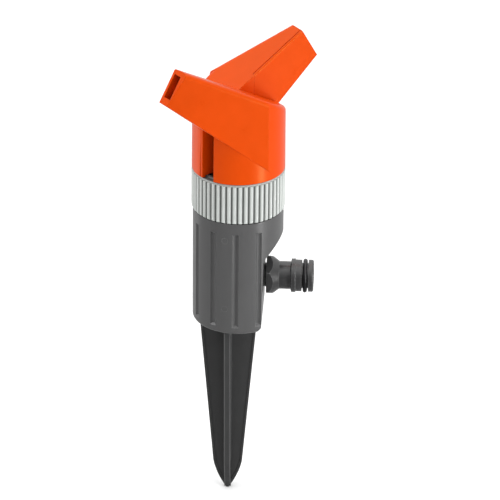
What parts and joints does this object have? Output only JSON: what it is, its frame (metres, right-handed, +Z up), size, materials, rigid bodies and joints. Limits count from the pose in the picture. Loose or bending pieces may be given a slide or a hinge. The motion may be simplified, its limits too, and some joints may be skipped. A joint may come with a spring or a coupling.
{
  "type": "rotating spike sprinkler",
  "caption": "Garden sprinkler on a ground spike: rotating head with raised arms, ribbed range ring and a side hose nipple.",
  "frame": {"origin": "on the head's spin axis at the underside of the body, where the soil's surface comes to", "axes": "+Z up along the head's spin axis, +X along the hose nipple, outwards"},
  "size_m": [0.0764, 0.072, 0.2506],
  "materials": {
    "head_orange": "satin moulded plastic, orange",
    "duct_grey": "moulded plastic, dark grey",
    "ring_grey": "satin moulded plastic, light grey",
    "body_grey": "satin moulded plastic, dark grey",
    "spike_black": "matt moulded plastic, near black",
    "rubber_black": "smooth rubber",
    "acetal_white": "natural acetal",
    "stainless": "stainless steel"
  },
  "bodies": {
    "base": {"body_housing": "body_grey", "base_plate": "body_grey", "base_screws": "stainless", "ground_spike": "spike_black", "hose_nipple": "body_grey", "nipple_o_ring": "rubber_black", "nipple_washer": "rubber_black", "inlet_filter": "acetal_white", "fixed_port_disc": "acetal_white", "neck_o_ring": "rubber_black", "snap_ring": "stainless"},
    "ring": {"range_ring": "ring_grey", "rotary_port_disc": "acetal_white", "swirl_plate": "acetal_white", "ball_race": "acetal_white", "ring_deck": "ring_grey", "deck_seal": "rubber_black", "spindle_bush": "acetal_white", "spindle_seal": "rubber_black"},
    "ball": {"drive_ball": "stainless"},
    "head": {"head_shell": "head_orange", "arm_cover_a": "head_orange", "arm_cover_b": "head_orange", "water_distributor": "duct_grey", "nozzle_a": "duct_grey", "nozzle_b": "duct_grey", "spindle_tube": "duct_grey", "spindle_circlip": "stainless", "striker": "acetal_white", "thrust_washer": "acetal_white", "shell_screws": "stainless"}
  },
  "joints": [
    {"name": "range_ring_turn", "type": "hinge", "parent": "base", "child": "ring", "pos_m": [0, 0, 0.07], "axis": [0, 0, 1], "range_deg": [0, 60]},
    {"name": "head_spin", "type": "hinge", "parent": "ring", "child": "head", "pos_m": [0, 0, 0.09], "axis": [0, 0, 1], "continuous": true},
    {"name": "ball_orbit", "type": "hinge", "parent": "ring", "child": "ball", "pos_m": [0, 0, 0.077], "axis": [0, 0, 1], "continuous": true}
  ]
}
